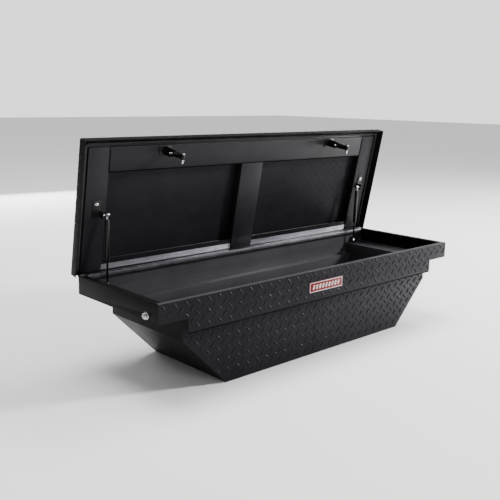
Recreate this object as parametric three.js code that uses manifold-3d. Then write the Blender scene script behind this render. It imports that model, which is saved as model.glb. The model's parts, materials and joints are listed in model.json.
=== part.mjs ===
// Crossover tool box for a pickup truck: a tub that hangs between the bed rails on two
// end wings, and one lid on a rear piano hinge, modelled with the lid held open.
// Units are millimetres. X runs along the box, the front faces -Y, and +Z is up.
// The origin is the centre of the tub's flat underside.
import * as THREE from 'three';
import { mergeVertices } from 'three/addons/utils/BufferGeometryUtils.js';
import Module from 'manifold-3d';

const wasm = await Module();
wasm.setup();

// ---------------------------------------------------------------- driving dimensions
const SHEET = 2.5; // sheet metal thickness
const GAP = 0.3; // clearance between touching pieces

const LENGTH = 1778; // tub, over both wings
const DEPTH = 540; // tub, over the front and back aprons
const HEIGHT = 382; // tub, underside to rim
const WING_LENGTH = 132;
const WING_HEIGHT = 74;
const END_DROP = 98; // upright part of the tub's end, below the wing
const BOTTOM_LENGTH = 1094;
const APRON_HEIGHT = 128;
const WALL_RECESS = 34; // lower walls stand this far behind the aprons
const SIDE_FLANGE = 20; // rim flange of the front and back walls
const END_FLANGE = 27; // rim flange of the ends
const LIP = 9; // down-turned edge of every rim flange

const LID_LENGTH = 1806;
const LID_FRONT = -276; // outer face of the lid's front skirt, lid shut
const LID_BACK = 280; // outer face of the lid's rear skirt, lid shut
const SKIRT_BOTTOM = 358; // free edge of the skirts, lid shut
const SKIRT_HEIGHT = 36;
const CROWN_HEIGHT = 68; // free edge to top plate
const CROWN_INSET = 36; // width of the bevel between skirt and top plate
const LID_CORNER = 5; // plan radius of the lid's corners
const REAR_SKIRT_BOTTOM = 380;
const FRAME_FACE = 386; // face of the lid's inner frame, lid shut
const FRAME_TOP = 423.2; // where the frame's walls meet the lid skin
const RETURN_Z = 390.7; // underside of the skin's rear return
const RETURN_REACH = 46; // how far the return reaches in from the rear skirt
const SEAL_SEAT = 395; // underside of the ledge that carries the weatherstrip
const SEAT_END = 889;
const SEAT_FRONT = -262;
const SEAL_BOTTOM = 383;
const SEAL_WIDTH = 11;
const SEAL_X = 881;
const SEAL_Y = -254;

const END_CHANNEL_IN = 771.5;
const END_CHANNEL_OUT = 866;
const FRONT_CHANNEL_HALF = 769.5;
const FRONT_CHANNEL_BACK = -140;
const FRONT_CHANNEL_FRONT = -239;
const MIDDLE_CHANNEL_HALF = 66;
const CHANNEL_REAR = 275.3;

const HINGE_Y = 284.5;
const HINGE_Z = 373;
const OPEN_ANGLE = THREE.MathUtils.degToRad(79);
const KNUCKLES = 22;
const KNUCKLE_RADIUS = 4.2;
const KNUCKLE_BORE = 2.1;
const PIN_RADIUS = 1.8;
const HINGE_HALF = 880;
const LEAF = 1.6; // thickness of the hinge leaves
const LEAF_REACH = 25; // how far the lid leaf reaches in from the rear skirt
const COVER_HALF = 858; // half length of the tub leaf's cover over the rim

const STRUT_X = 777;
const STRUT_LOW = { y: 236, z: 331 }; // ball on the tub
const STRUT_LID = { y: 28.9, z: 363.1 }; // ball on the lid, lid shut
const TUBE_RADIUS = 9;
const TUBE_LENGTH = 172;
const ROD_RADIUS = 4;
const ROD_REACH = 135;
const SOCKET_RADIUS = 7.5;
const STRUT_EAR = 800;

const STRIKER_X = 508;
const STRIKER_FRONT = -235;
const STRIKER_BACK = -192;
const STRIKER_PIN_Z = 265;
const STRIKER_BAR_Z = 330;
const STRIKER_BAR_Y = -219;

const LOCK_Y = -198;
const LOCK_Z = 327.5;
const LATCH_PIVOT = { x: 545, z: 311 };

const BADGE = { x: -19, z: 312.5, width: 209, height: 45, depth: 2 };

// ---------------------------------------------------------------- materials
const finish = (color, roughness, metalness) =>
  new THREE.MeshStandardMaterial({ color, roughness, metalness });
const POWDER_COAT = finish(0x1d1e21, 0.5, 0.3);
const TREAD_PLATE = finish(0x24252a, 0.42, 0.35);
const RUBBER = finish(0x0e0e10, 0.6, 0.0);
const CHROME = finish(0xc9ccd1, 0.18, 1.0);
const ZINC = finish(0x9fa3a8, 0.38, 0.9);
const BLACK_STEEL = finish(0x141416, 0.45, 0.5);
const BADGE_RED = finish(0xb5252e, 0.35, 0.1);

// ---------------------------------------------------------------- solids
function toSolid(geometry) {
  const bare = geometry.index ? geometry.toNonIndexed() : geometry.clone();
  bare.deleteAttribute('normal');
  bare.deleteAttribute('uv');
  const merged = mergeVertices(bare, 1e-4);
  return new wasm.Manifold(new wasm.Mesh({
    numProp: 3,
    vertProperties: Float32Array.from(merged.attributes.position.array),
    triVerts: Uint32Array.from(merged.index.array),
  }));
}

function toGeometry(solid) {
  const mesh = solid.getMesh();
  const geometry = new THREE.BufferGeometry();
  geometry.setAttribute('position', new THREE.BufferAttribute(mesh.vertProperties, 3));
  geometry.setIndex(new THREE.BufferAttribute(mesh.triVerts, 1));
  geometry.computeVertexNormals();
  return geometry;
}

const join = (...solids) => solids.reduce((whole, piece) => whole.add(piece));
const cut = (solid, ...tools) => tools.reduce((rest, tool) => rest.subtract(tool), solid);

function box([x0, x1], [y0, y1], [z0, z1]) {
  const geometry = new THREE.BoxGeometry(x1 - x0, y1 - y0, z1 - z0);
  geometry.translate((x0 + x1) / 2, (y0 + y1) / 2, (z0 + z1) / 2);
  return toSolid(geometry);
}

// A round bar along the x, y or z axis, from one coordinate to the other.
function bar(axis, from, to, radius, centre, sides = 20) {
  const geometry = new THREE.CylinderGeometry(radius, radius, to - from, sides);
  if (axis === 'x') geometry.rotateZ(-Math.PI / 2);
  if (axis === 'z') geometry.rotateX(Math.PI / 2);
  const middle = new THREE.Vector3(...centre);
  middle[axis] = (from + to) / 2;
  geometry.translate(middle.x, middle.y, middle.z);
  return toSolid(geometry);
}

function shapeOf(points) {
  return new THREE.Shape(points.map(([a, b]) => new THREE.Vector2(a, b)));
}

// A (y, z) outline extruded along X.
function alongX(points, [x0, x1]) {
  const geometry = new THREE.ExtrudeGeometry(shapeOf(points), { depth: x1 - x0, bevelEnabled: false });
  const turn = new THREE.Matrix4().makeBasis(
    new THREE.Vector3(0, 1, 0), new THREE.Vector3(0, 0, 1), new THREE.Vector3(1, 0, 0));
  geometry.applyMatrix4(turn);
  geometry.translate(x0, 0, 0);
  return toSolid(geometry);
}

// An (x, z) outline extruded along Y.
function alongY(points, [y0, y1]) {
  const geometry = new THREE.ExtrudeGeometry(shapeOf(points), { depth: y1 - y0, bevelEnabled: false });
  geometry.rotateX(Math.PI / 2);
  geometry.translate(0, y1, 0);
  return toSolid(geometry);
}

// Where two offset lines of a bend meet, on the left of the path a, b, c.
function mitre(a, b, c, offset) {
  const before = new THREE.Vector2().subVectors(b, a).normalize();
  const after = new THREE.Vector2().subVectors(c, b).normalize();
  const left = new THREE.Vector2(-before.y - after.y, before.x + after.x);
  return left.multiplyScalar(offset / (1 + before.dot(after))).add(b);
}

// Outline of a bent sheet whose outer face follows the path, with its thickness on the left.
function bentSheet(path, thickness = SHEET) {
  const points = path.map(([a, b]) => new THREE.Vector2(a, b));
  const inner = points.map((point, i) => {
    const ahead = points[i + 1] ?? point.clone().multiplyScalar(2).sub(points[i - 1]);
    const behind = points[i - 1] ?? point.clone().multiplyScalar(2).sub(points[i + 1]);
    return mitre(behind, point, ahead, thickness);
  });
  return [...points, ...inner.reverse()].map((point) => [point.x, point.y]);
}

const mirrorX = (points) => points.map(([x, z]) => [-x, z]).reverse();

// A stack of rounded rectangles, each { z, inset }, skinned into one closed solid.
function loft(levels, radius) {
  const arcSteps = 4;
  const ring = ({ z, inset }) => {
    const half = LID_LENGTH / 2 - inset;
    const [y0, y1] = [LID_FRONT + inset, LID_BACK - inset];
    const corners = [[half, y1, 0], [-half, y1, 1], [-half, y0, 2], [half, y0, 3]];
    return corners.flatMap(([x, y, quarter]) => Array.from({ length: arcSteps + 1 }, (_, i) => {
      const angle = (quarter + i / arcSteps) * Math.PI / 2;
      return new THREE.Vector3(
        x - Math.sign(x) * radius + radius * Math.cos(angle),
        y + (y === y1 ? -radius : radius) + radius * Math.sin(angle), z);
    }));
  };
  const rings = levels.map(ring);
  const count = rings[0].length;
  const faces = [];
  for (let level = 0; level < rings.length - 1; level += 1) {
    for (let i = 0; i < count; i += 1) {
      const [a, b] = [level * count + i, level * count + (i + 1) % count];
      faces.push(a, b, b + count, a, b + count, a + count);
    }
  }
  const last = (rings.length - 1) * count;
  for (let i = 1; i < count - 1; i += 1) {
    faces.push(0, i + 1, i, last, last + i, last + i + 1);
  }
  const geometry = new THREE.BufferGeometry().setFromPoints(rings.flat());
  geometry.setIndex(faces);
  return toSolid(geometry);
}

// A section of (offset, z) points swept along a level path of (x, y) points.
function sweep(path, section) {
  const points = path.map(([x, y]) => new THREE.Vector2(x, y));
  const rings = points.map((point, i) => {
    const ahead = points[i + 1] ?? point.clone().multiplyScalar(2).sub(points[i - 1]);
    const behind = points[i - 1] ?? point.clone().multiplyScalar(2).sub(points[i + 1]);
    return section.map(([offset, z]) => {
      const place = mitre(behind, point, ahead, offset);
      return new THREE.Vector3(place.x, place.y, z);
    });
  });
  const count = section.length;
  const faces = [];
  for (let step = 0; step < rings.length - 1; step += 1) {
    for (let i = 0; i < count; i += 1) {
      const [a, b] = [step * count + i, step * count + (i + 1) % count];
      faces.push(a, b + count, b, a, a + count, b + count);
    }
  }
  const last = (rings.length - 1) * count;
  for (let i = 1; i < count - 1; i += 1) {
    faces.push(0, i, i + 1, last, last + i + 1, last + i);
  }
  const geometry = new THREE.BufferGeometry().setFromPoints(rings.flat());
  geometry.setIndex(faces);
  return toSolid(geometry);
}

// A turned piece: (radius, height) points about Z, starting and ending on the axis.
function turned(points, sides = 24) {
  const profile = points.map(([radius, height]) => new THREE.Vector2(radius, height));
  const geometry = new THREE.LatheGeometry(profile, sides);
  geometry.rotateX(Math.PI / 2);
  return geometry;
}

function add(group, name, solid, material) {
  const geometry = solid.isBufferGeometry ? solid : toGeometry(solid);
  const mesh = new THREE.Mesh(geometry, material);
  mesh.name = name;
  group.add(mesh);
  return mesh;
}

const SIDES = [['left', -1], ['right', 1]];
// The span from one x to another on the chosen side of the box, in rising order.
const span = (side, near, far) => [side * near, side * far].sort((a, b) => a - b);

// ---------------------------------------------------------------- tub
const HALF = LENGTH / 2;
const HALF_DEPTH = DEPTH / 2;
const WING_FLOOR = HEIGHT - WING_HEIGHT;
const BODY_HALF = HALF - WING_LENGTH;
const SLANT_TOP = WING_FLOOR - END_DROP;
const LEDGE = HEIGHT - APRON_HEIGHT;
const WALL_Y = HALF_DEPTH - WALL_RECESS;

const END_OUTLINE = [
  [-HALF, HEIGHT + 1], [-HALF, WING_FLOOR], [-BODY_HALF, WING_FLOOR], [-BODY_HALF, SLANT_TOP],
  [-BOTTOM_LENGTH / 2, 0],
];
const FRONT_OUTLINE = [...END_OUTLINE, ...END_OUTLINE.map(([x, z]) => [-x, z]).reverse()];

// A long wall: rim flange with its lip, apron, ledge and recessed lower wall in one sheet.
function longWall(facing) {
  const section = bentSheet([
    [-HALF_DEPTH + SIDE_FLANGE, HEIGHT - LIP], [-HALF_DEPTH + SIDE_FLANGE, HEIGHT],
    [-HALF_DEPTH, HEIGHT], [-HALF_DEPTH, LEDGE], [-WALL_Y, LEDGE], [-WALL_Y, 0],
  ]);
  const inside = -HALF_DEPTH + SHEET + GAP;
  let wall = alongX(section, [-HALF, HALF]).intersect(alongY(FRONT_OUTLINE, [-HALF_DEPTH - 1, 0]));
  for (const [, side] of SIDES) {
    wall = cut(wall, box(span(side, HALF - SHEET - GAP, HALF + 1), [inside, 0], [LEDGE, HEIGHT + 1]));
  }
  return facing === 'front' ? wall : wall.mirror([0, 1, 0]);
}

// One end: rim flange, wing wall, wing floor, upright wall and slanted wall in one sheet.
function endWall(side) {
  const path = [
    [-HALF + END_FLANGE, HEIGHT - LIP], [-HALF + END_FLANGE, HEIGHT], [-HALF, HEIGHT],
    [-HALF, WING_FLOOR], [-BODY_HALF, WING_FLOOR], [-BODY_HALF, SLANT_TOP],
    [-BOTTOM_LENGTH / 2 + 20, -20],
  ];
  const wide = HALF_DEPTH - SHEET - GAP;
  const narrow = WALL_Y - SHEET - GAP;
  const step = LEDGE + SHEET + GAP;
  const flangeEnd = HALF_DEPTH - SIDE_FLANGE - GAP;
  const plan = [
    [-wide, HEIGHT + 1], [-wide, step], [-narrow, step], [-narrow, 0],
    [narrow, 0], [narrow, step], [wide, step], [wide, HEIGHT + 1],
  ];
  let wall = alongY(bentSheet(path), [-wide, wide]).intersect(alongX(plan, [-HALF - 1, 0]));
  for (const y of [[-wide - 1, -flangeEnd], [flangeEnd, wide + 1]]) {
    wall = cut(wall, box([-HALF + SHEET + GAP, -HALF + END_FLANGE + 1], y, [HEIGHT - LIP - 1, HEIGHT + 1]));
  }
  wall = cut(wall, bar('x', -HALF - 1, -HALF + SHEET + 1, 10.3, [0, LOCK_Y, LOCK_Z]));
  return side < 0 ? wall : wall.mirror([1, 0, 0]);
}

// Floor doubler of a wing, with an upturned edge against the end wall.
function wingShelf(side) {
  const outer = HALF - SHEET - GAP;
  const wide = HALF_DEPTH - SHEET - 2 * GAP;
  const floor = WING_FLOOR + SHEET + GAP;
  const upturn = 28;
  const shelf = join(
    box(span(side, BODY_HALF - SHEET, outer), [-wide, wide], [floor, floor + SHEET]),
    box(span(side, outer - SHEET, outer), [LOCK_Y + 30, wide], [floor, floor + upturn]));
  return shelf;
}

function buildTub(root) {
  add(root, 'front_panel', longWall('front'), TREAD_PLATE);
  add(root, 'back_panel', longWall('back'), TREAD_PLATE);
  const bottomHalf = BOTTOM_LENGTH / 2 - SHEET * Math.SQRT2 - 2 * GAP;
  const bottomDepth = WALL_Y - SHEET - GAP;
  add(root, 'bottom_panel',
    box([-bottomHalf, bottomHalf], [-bottomDepth, bottomDepth], [0, SHEET]), POWDER_COAT);
  for (const [label, side] of SIDES) {
    add(root, `${label}_end_panel`, endWall(side), POWDER_COAT);
    add(root, `${label}_wing_shelf`, wingShelf(side), POWDER_COAT);
  }
  const badgeFace = -HALF_DEPTH - GAP;
  add(root, 'badge_plate', box(
    [BADGE.x - BADGE.width / 2, BADGE.x + BADGE.width / 2], [badgeFace - BADGE.depth, badgeFace],
    [BADGE.z - BADGE.height / 2, BADGE.z + BADGE.height / 2]), BADGE_RED);
}

// ---------------------------------------------------------------- hinge
const KNUCKLE_PITCH = (2 * HINGE_HALF) / KNUCKLES;

function knuckle(index) {
  const from = -HINGE_HALF + index * KNUCKLE_PITCH + GAP;
  const to = from + KNUCKLE_PITCH - 2 * GAP;
  const at = [0, HINGE_Y, HINGE_Z];
  return { from, to, ring: bar('x', from, to, KNUCKLE_RADIUS, at, 12), at };
}

const hingeBore = () =>
  bar('x', -HINGE_HALF - 1, HINGE_HALF + 1, KNUCKLE_BORE, [0, HINGE_Y, HINGE_Z], 12);

// Leaf that caps the back rim, drops down the back wall and steps out to the knuckles.
function tubLeaf() {
  const back = HALF_DEPTH + GAP;
  const front = HALF_DEPTH - SIDE_FLANGE - GAP;
  const cap = HEIGHT + GAP;
  const shelf = HINGE_Z - KNUCKLE_RADIUS - 1.8;
  let leaf = join(
    box([-COVER_HALF, COVER_HALF], [front - LEAF, back + LEAF], [cap, cap + LEAF]),
    box([-COVER_HALF, COVER_HALF], [front - LEAF, front], [HEIGHT - 15, cap + LEAF]),
    box([-HINGE_HALF, HINGE_HALF], [back, back + LEAF], [shelf - LEAF, cap + LEAF]),
    box([-HINGE_HALF, HINGE_HALF], [back, HINGE_Y + LEAF / 2], [shelf - LEAF, shelf]));
  for (let i = 0; i < KNUCKLES; i += 2) {
    const { from, to, ring } = knuckle(i);
    const tab = box([from, to], [HINGE_Y - LEAF / 2, HINGE_Y + LEAF / 2], [shelf - LEAF, HINGE_Z]);
    leaf = join(leaf, tab, ring);
  }
  return cut(leaf, hingeBore());
}

// Leaf along the foot of the rear skirt, with a wide flat on the lid's return between channels.
function lidLeaf() {
  const skirt = LID_BACK - SHEET - GAP;
  const foot = HINGE_Z + KNUCKLE_RADIUS + 0.6;
  let leaf = join(
    box([-HINGE_HALF, HINGE_HALF], [skirt - LEAF, skirt], [foot, RETURN_Z - GAP]),
    box([-HINGE_HALF, HINGE_HALF], [skirt - LEAF, HINGE_Y + LEAF / 2], [foot, foot + LEAF]));
  for (const [, side] of SIDES) {
    leaf = join(leaf, box(span(side, MIDDLE_CHANNEL_HALF + GAP, END_CHANNEL_IN - GAP),
      [skirt - LEAF_REACH, skirt], [RETURN_Z - GAP - LEAF, RETURN_Z - GAP]));
  }
  for (let i = 1; i < KNUCKLES; i += 2) {
    const { from, to, ring } = knuckle(i);
    const tab = box([from, to], [HINGE_Y - LEAF / 2, HINGE_Y + LEAF / 2], [HINGE_Z, foot + LEAF]);
    leaf = join(leaf, tab, ring);
  }
  return cut(leaf, hingeBore());
}

// ---------------------------------------------------------------- lid, built as it lies when shut
const CROWN_TOP = SKIRT_BOTTOM + CROWN_HEIGHT;
const BEVEL_SLOPE = (CROWN_HEIGHT - SKIRT_HEIGHT) / CROWN_INSET;

// Everything inside the lid's skin, held clear of its outer face by the given distance.
function lidRoom(clearance) {
  const bevelDrop = clearance * Math.hypot(1, BEVEL_SLOPE);
  const shoulder = SKIRT_BOTTOM + SKIRT_HEIGHT - bevelDrop + clearance * BEVEL_SLOPE;
  const topInset = clearance + (CROWN_TOP - clearance - shoulder) / BEVEL_SLOPE;
  return loft([
    { z: SKIRT_BOTTOM - 5, inset: clearance }, { z: shoulder, inset: clearance },
    { z: CROWN_TOP - clearance, inset: topInset }], LID_CORNER - clearance);
}

function lidSkin() {
  const outer = loft([
    { z: SKIRT_BOTTOM, inset: 0 }, { z: SKIRT_BOTTOM + SKIRT_HEIGHT, inset: 0 },
    { z: CROWN_TOP, inset: CROWN_INSET }], LID_CORNER);
  const rearNotch = box(
    [-LID_LENGTH / 2 + SHEET + 1.5, LID_LENGTH / 2 - SHEET - 1.5], [HALF_DEPTH, LID_BACK + 10],
    [SKIRT_BOTTOM - 5, REAR_SKIRT_BOTTOM]);
  const returns = SIDES.map(([, side]) => box(
    span(side, MIDDLE_CHANNEL_HALF + GAP, END_CHANNEL_IN - GAP),
    [LID_BACK - SHEET - RETURN_REACH, LID_BACK - 1], [RETURN_Z, RETURN_Z + SHEET]));
  return join(cut(outer, lidRoom(SHEET), rearNotch), ...returns);
}

// Hat section from the skin down to the frame face and up again to the seal's seat.
const hatPath = (near, far, seat) => [
  [near, FRAME_TOP], [near, FRAME_FACE], [far, FRAME_FACE], [far, SEAL_SEAT], [seat, SEAL_SEAT],
];

function frontChannel() {
  const path = hatPath(FRONT_CHANNEL_BACK, FRONT_CHANNEL_FRONT, SEAT_FRONT).reverse();
  return alongX(bentSheet(path), [-FRONT_CHANNEL_HALF, FRONT_CHANNEL_HALF]);
}

function endChannel(side) {
  const path = hatPath(END_CHANNEL_IN, END_CHANNEL_OUT, SEAT_END);
  const seat = [SEAL_SEAT, SEAL_SEAT + SHEET];
  const channel = join(
    alongY(bentSheet(path), [FRONT_CHANNEL_FRONT, CHANNEL_REAR]),
    box([END_CHANNEL_IN, SEAT_END], [SEAT_FRONT, FRONT_CHANNEL_FRONT + 1], seat),
    box([END_CHANNEL_IN, END_CHANNEL_OUT], [FRONT_CHANNEL_FRONT, FRONT_CHANNEL_FRONT + SHEET],
      [FRAME_FACE, SEAL_SEAT + SHEET]));
  const fitted = channel.intersect(lidRoom(SHEET + GAP));
  return side > 0 ? fitted : fitted.mirror([1, 0, 0]);
}

function middleChannel() {
  const path = [
    [-MIDDLE_CHANNEL_HALF, FRAME_TOP], [-MIDDLE_CHANNEL_HALF, FRAME_FACE],
    [MIDDLE_CHANNEL_HALF, FRAME_FACE], [MIDDLE_CHANNEL_HALF, FRAME_TOP]];
  return alongY(bentSheet(path), [FRONT_CHANNEL_BACK + SHEET + GAP, CHANNEL_REAR])
    .intersect(lidRoom(SHEET + GAP));
}

// Bulb seal on its seat, along both ends and the front of the lid.
function weatherstrip() {
  const half = SEAL_WIDTH / 2;
  const top = SEAL_SEAT - GAP;
  const section = [[-half, top], [half, top]];
  const steps = 6;
  for (let i = 0; i <= steps; i += 1) {
    const angle = (i / steps) * Math.PI;
    section.push([half * Math.cos(angle), SEAL_BOTTOM + half - half * Math.sin(angle)]);
  }
  const corner = 14;
  const bend = (x, y, start) => Array.from({ length: 5 }, (_, i) => {
    const angle = start + (i / 4) * Math.PI / 2;
    return [x + corner * Math.cos(angle), y + corner * Math.sin(angle)];
  });
  const path = [
    [-SEAL_X, LID_BACK - 20],
    ...bend(-SEAL_X + corner, SEAL_Y + corner, Math.PI),
    ...bend(SEAL_X - corner, SEAL_Y + corner, 1.5 * Math.PI),
    [SEAL_X, LID_BACK - 20],
  ];
  return sweep(path, section);
}

// Web that carries the striker down into the tub, with a cross bar and a boss for its bolt.
function strikerBracket(side) {
  const plate = box(span(side, STRIKER_X - 30, STRIKER_X + 30), [STRIKER_FRONT - 2, STRIKER_BACK - 4],
    [FRAME_FACE - GAP - SHEET, FRAME_FACE - GAP]);
  const web = alongX([
    [STRIKER_FRONT + 5, STRIKER_PIN_Z], [STRIKER_FRONT + 26, STRIKER_PIN_Z],
    [STRIKER_FRONT + 32, FRAME_FACE - GAP - 1], [STRIKER_FRONT, FRAME_FACE - GAP - 1],
  ], span(side, STRIKER_X - 1.5, STRIKER_X + 1.5));
  const fin = box(span(side, STRIKER_X - 16, STRIKER_X + 16), [STRIKER_FRONT + 29, STRIKER_FRONT + 32],
    [STRIKER_BAR_Z - 4, FRAME_FACE - GAP - 1]);
  const boss = bar('y', STRIKER_FRONT + 6, STRIKER_FRONT + 26, 7, [side * STRIKER_X, 0, STRIKER_PIN_Z], 16);
  return cut(join(plate, web, fin, boss),
    bar('y', STRIKER_FRONT - 1, STRIKER_BACK, 4.5 + GAP, [side * STRIKER_X, 0, STRIKER_PIN_Z], 16),
    bar('x', ...span(side, STRIKER_X - 25, STRIKER_X + 25), 4 + GAP, [0, STRIKER_BAR_Y, STRIKER_BAR_Z], 16));
}

function strikerBolt(side) {
  const at = [side * STRIKER_X, 0, STRIKER_PIN_Z];
  return join(
    bar('y', STRIKER_FRONT, STRIKER_BACK, 4.5, at, 16),
    bar('y', STRIKER_FRONT, STRIKER_FRONT + 4, 6.4, at, 16),
    bar('y', STRIKER_FRONT + 27, STRIKER_FRONT + 31, 6.4, at, 16));
}

const strikerBar = (side) =>
  bar('x', ...span(side, STRIKER_X - 23, STRIKER_X + 23), 4, [0, STRIKER_BAR_Y, STRIKER_BAR_Z], 16);

// Plate on the end channel with an ear that reaches down to the strut's ball.
function strutLidBracket(side) {
  const under = FRAME_FACE - GAP;
  return join(
    box(span(side, STRUT_EAR, STRUT_EAR + 32), [-25, 43], [under - SHEET, under]),
    box(span(side, STRUT_EAR, STRUT_EAR + SHEET), [STRUT_LID.y - 13, STRUT_LID.y + 13],
      [STRUT_LID.z - 10, under]));
}

function strutBracketBolt(side) {
  const top = FRAME_FACE - 2 * GAP - SHEET;
  const at = [side * 816, -9, 0];
  return join(bar('z', top - 2, top, 9, at, 20), bar('z', top - 7, top, 6.5, at, 6));
}

function buildLid(root) {
  const lid = new THREE.Group();
  lid.position.set(0, HINGE_Y, HINGE_Z);
  lid.rotation.x = -OPEN_ANGLE;
  root.add(lid);
  const place = (name, solid, material) =>
    add(lid, name, solid.translate([0, -HINGE_Y, -HINGE_Z]), material);

  place('lid_skin', lidSkin(), TREAD_PLATE);
  place('lid_front_channel', frontChannel(), POWDER_COAT);
  place('lid_middle_channel', middleChannel(), POWDER_COAT);
  place('weatherstrip', weatherstrip(), RUBBER);
  place('hinge_lid_leaf', lidLeaf(), ZINC);
  for (const [label, side] of SIDES) {
    place(`lid_${label}_channel`, endChannel(side), POWDER_COAT);
    place(`striker_bracket_${label}`, strikerBracket(side), BLACK_STEEL);
    place(`striker_bolt_${label}`, strikerBolt(side), CHROME);
    place(`striker_bar_${label}`, strikerBar(side), CHROME);
    place(`strut_lid_bracket_${label}`, strutLidBracket(side), BLACK_STEEL);
    place(`strut_bracket_bolt_${label}`, strutBracketBolt(side), CHROME);
  }
}

// ---------------------------------------------------------------- gas struts
const OPEN_BALL = new THREE.Vector2(STRUT_LID.y - HINGE_Y, STRUT_LID.z - HINGE_Z)
  .rotateAround(new THREE.Vector2(), -OPEN_ANGLE)
  .add(new THREE.Vector2(HINGE_Y, HINGE_Z));
const STRUT_LENGTH = Math.hypot(OPEN_BALL.x - STRUT_LOW.y, OPEN_BALL.y - STRUT_LOW.z);
const STRUT_LEAN = Math.atan2(STRUT_LOW.y - OPEN_BALL.x, OPEN_BALL.y - STRUT_LOW.z);

// Bracket on the back wall, with the ball stud that the rod turns on.
function strutTubBracket(side) {
  const { y, z } = STRUT_LOW;
  const wall = HALF_DEPTH - SHEET - GAP;
  return join(
    box(span(side, STRUT_EAR - 14, STRUT_EAR + 22), [wall - SHEET, wall], [z - 14, z + 16]),
    box(span(side, STRUT_EAR, STRUT_EAR + SHEET), [y - 10, wall], [z - 9, z + 9]),
    bar('x', ...span(side, STRUT_X + 3, STRUT_EAR + 1), 3, [0, y, z], 12),
    toSolid(new THREE.SphereGeometry(5, 16, 10).translate(side * STRUT_X, y, z)));
}

// The turned pieces of a strut stand on Z, with the lower ball at their origin.
const rodProfile = [
  [0, 13], [ROD_RADIUS, 13], [ROD_RADIUS, ROD_REACH - 8], [7.2, ROD_REACH - 8], [7.2, ROD_REACH], [0, ROD_REACH],
];
const tubeProfile = (base) => [
  [ROD_RADIUS + GAP, base], [TUBE_RADIUS - 1, base], [TUBE_RADIUS, base + 1],
  [TUBE_RADIUS, base + TUBE_LENGTH - 1], [TUBE_RADIUS - 1, base + TUBE_LENGTH],
  [0, base + TUBE_LENGTH], [0, base + TUBE_LENGTH - 4], [7.5, base + TUBE_LENGTH - 4],
  [7.5, base + 6], [ROD_RADIUS + GAP, base + 6], [ROD_RADIUS + GAP, base],
];

// Forged cup that snaps over a ball, open towards the bracket, on a short round neck.
function socket(side, neckFrom, neckTo) {
  const cup = bar('x', ...span(side, -SOCKET_RADIUS, 6), SOCKET_RADIUS, [0, 0, 0], 20);
  const neck = bar('z', Math.min(neckFrom, neckTo), Math.max(neckFrom, neckTo), 5.5, [0, 0, 0], 16);
  return join(cup, neck);
}

function buildStrut(root, label, side) {
  add(root, `strut_tub_bracket_${label}`, strutTubBracket(side), BLACK_STEEL);
  const strut = new THREE.Group();
  strut.position.set(side * STRUT_X, STRUT_LOW.y, STRUT_LOW.z);
  strut.rotation.x = STRUT_LEAN;
  root.add(strut);

  const ball = toSolid(new THREE.SphereGeometry(5 + GAP, 16, 10));
  const mouth = bar('x', ...span(side, 0, 10), 4.2, [0, 0, 0], 16);
  add(strut, `strut_rod_socket_${label}`, cut(socket(side, 0, 13 - GAP), ball, mouth), ZINC);
  add(strut, `strut_rod_${label}`, turned(rodProfile, 16), CHROME);
  const tubeTop = STRUT_LENGTH - 20;
  add(strut, `strut_tube_${label}`, turned(tubeProfile(tubeTop - TUBE_LENGTH), 20), BLACK_STEEL);
  const stud = bar('x', ...span(side, 3, STRUT_EAR - STRUT_X - GAP), 3, [0, 0, 0], 12);
  const collar = bar('x', ...span(side, STRUT_EAR - STRUT_X - 5, STRUT_EAR - STRUT_X - GAP), 6, [0, 0, 0], 6);
  const head = join(socket(side, -20 + GAP, 0), stud, collar).translate([0, 0, STRUT_LENGTH]);
  add(strut, `strut_tube_socket_${label}`, head, ZINC);
}

// ---------------------------------------------------------------- push-button locks and latches
const TURN_TO_X = new THREE.Matrix4().makeRotationY(Math.PI / 2);

// A turned piece of the lock: heights run inwards from the end wall's outer face.
function lockPiece(side, profile, sides) {
  const geometry = turned(profile, sides);
  geometry.applyMatrix4(TURN_TO_X);
  let piece = toSolid(geometry).translate([-HALF, LOCK_Y, LOCK_Z]);
  if (side > 0) piece = piece.mirror([1, 0, 0]);
  return piece;
}

const LOCK_BODY = [
  [7.8, -12], [11, -12], [12.5, -10.5], [12.5, -4], [15, -3], [15, -GAP], [10, -GAP],
  [10, 22], [7.8, 22], [7.8, -12],
];
const BUTTON_FACE = -16;
const BUTTON = [
  [4.8, BUTTON_FACE], [6.6, BUTTON_FACE], [7.5, BUTTON_FACE + 1], [7.5, 24], [0, 24], [0, 6],
  [4.8, 6], [4.8, BUTTON_FACE],
];
const KEY_PLUG = [[0, BUTTON_FACE - 0.6], [4, BUTTON_FACE - 0.6], [4.5, BUTTON_FACE], [4.5, 5.5], [0, 5.5]];

function lockNut(side) {
  const seat = -HALF + SHEET + GAP;
  const nut = cut(bar('x', seat, seat + 6, 13.5, [0, LOCK_Y, LOCK_Z], 6),
    bar('x', seat - 1, seat + 7, 10 + GAP, [0, LOCK_Y, LOCK_Z], 24));
  return side < 0 ? nut : nut.mirror([1, 0, 0]);
}

function keyPlug(side) {
  const face = -HALF + BUTTON_FACE;
  const slot = box([face - 2, face + 5], [LOCK_Y - 0.8, LOCK_Y + 0.8], [LOCK_Z - 2.8, LOCK_Z + 2.8]);
  const plug = lockPiece(-1, KEY_PLUG, 16).subtract(slot);
  return side < 0 ? plug : plug.mirror([1, 0, 0]);
}

// Plate on the front apron's inner face, with the long pin that the hook lever turns on.
function latchBracket(side) {
  const wall = -HALF_DEPTH + SHEET + GAP;
  const at = [side * LATCH_PIVOT.x, 0, LATCH_PIVOT.z];
  return join(
    box(span(side, LATCH_PIVOT.x - 24, LATCH_PIVOT.x + 24), [wall, wall + 3],
      [LATCH_PIVOT.z - 30, LATCH_PIVOT.z + 30]),
    bar('y', wall, LOCK_Y - 2.5 - GAP, 8, at, 20),
    bar('y', wall, LOCK_Y + 6, 4, at, 16));
}

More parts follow.
